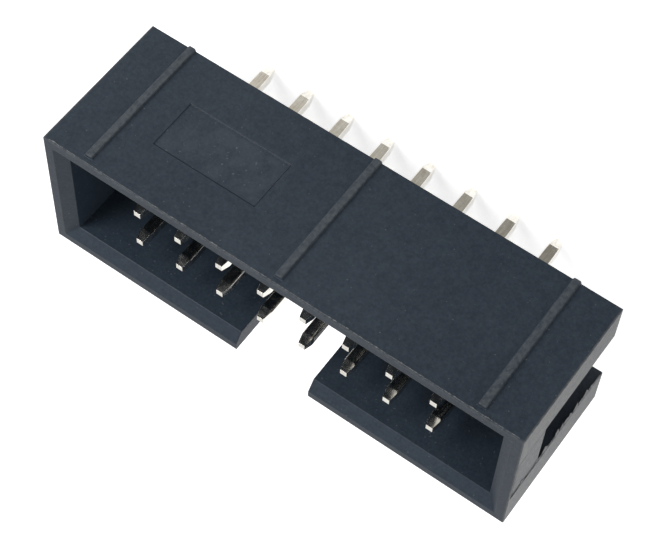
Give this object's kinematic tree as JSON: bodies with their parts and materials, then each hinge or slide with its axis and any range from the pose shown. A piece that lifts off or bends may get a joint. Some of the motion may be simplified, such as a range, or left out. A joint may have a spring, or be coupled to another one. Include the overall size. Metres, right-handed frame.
{
  "type": "idc box header",
  "caption": "Straight shrouded pin header for ribbon-cable plugs: an open-topped moulded box with a key notch, holding two rows of square pins with solder tails.",
  "frame": {"origin": "middle of the pin field, on the plane where the housing seats on the circuit board", "axes": "+X along the two rows of pins, +Y out of the ribbed long wall (the key notch is in the -Y wall), +Z out of the mouth, away from the board; the solder tails point along -Z"},
  "size_m": [0.028, 0.009, 0.012],
  "materials": {
    "housing_plastic": "matte near-black slate, fine moulded grain",
    "pin_metal": "bright tin plating on square wire"
  },
  "bodies": {
    "root": {"housing": "housing_plastic", "pin_01": "pin_metal", "pin_02": "pin_metal", "pin_03": "pin_metal", "pin_04": "pin_metal", "pin_05": "pin_metal", "pin_06": "pin_metal", "pin_07": "pin_metal", "pin_08": "pin_metal", "pin_09": "pin_metal", "pin_10": "pin_metal", "pin_11": "pin_metal", "pin_12": "pin_metal", "pin_13": "pin_metal", "pin_14": "pin_metal", "pin_15": "pin_metal", "pin_16": "pin_metal"}
  },
  "joints": []
}
